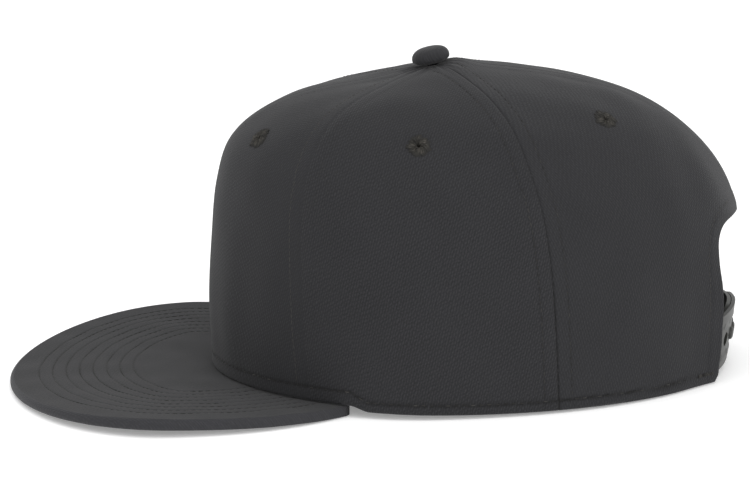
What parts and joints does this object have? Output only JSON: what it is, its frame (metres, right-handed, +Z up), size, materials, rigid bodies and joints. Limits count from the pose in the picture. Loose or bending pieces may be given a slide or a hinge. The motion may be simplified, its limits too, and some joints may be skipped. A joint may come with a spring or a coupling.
{
  "type": "snapback cap",
  "caption": "Charcoal twill snapback cap with a structured six-panel crown, nearly flat stitched visor, arched back opening and plastic snap closure.",
  "frame": {"origin": "centre of the footprint on the surface that the cap rests on, touching the tip of the visor and the back of the rim", "axes": "+Z up from that surface, the visor points along -Y, the snap closure faces +Y, and +X is the wearer's left"},
  "size_m": [0.195, 0.2878, 0.1288],
  "materials": {
    "crown_twill": "charcoal cotton twill, matt",
    "visor_twill": "charcoal cotton twill over a stiff board, matt",
    "button_twill": "charcoal cotton twill drawn over a button, matt",
    "embroidery_thread": "dark thread, satin stitch",
    "sweatband_twill": "dark twill band, matt",
    "binding_tape": "dark woven tape, matt",
    "strap_plastic": "dark grey moulded plastic, satin"
  },
  "bodies": {
    "root": {"front_panel_left": "crown_twill", "front_panel_right": "crown_twill", "side_panel_left": "crown_twill", "side_panel_right": "crown_twill", "back_panel_left": "crown_twill", "back_panel_right": "crown_twill", "eyelet_front_left": "embroidery_thread", "eyelet_front_right": "embroidery_thread", "eyelet_side_left": "embroidery_thread", "eyelet_side_right": "embroidery_thread", "eyelet_back_left": "embroidery_thread", "eyelet_back_right": "embroidery_thread", "top_button": "button_twill", "visor": "visor_twill", "sweatband": "sweatband_twill", "opening_binding": "binding_tape", "strap_with_holes": "strap_plastic", "strap_with_pegs": "strap_plastic"}
  },
  "joints": []
}
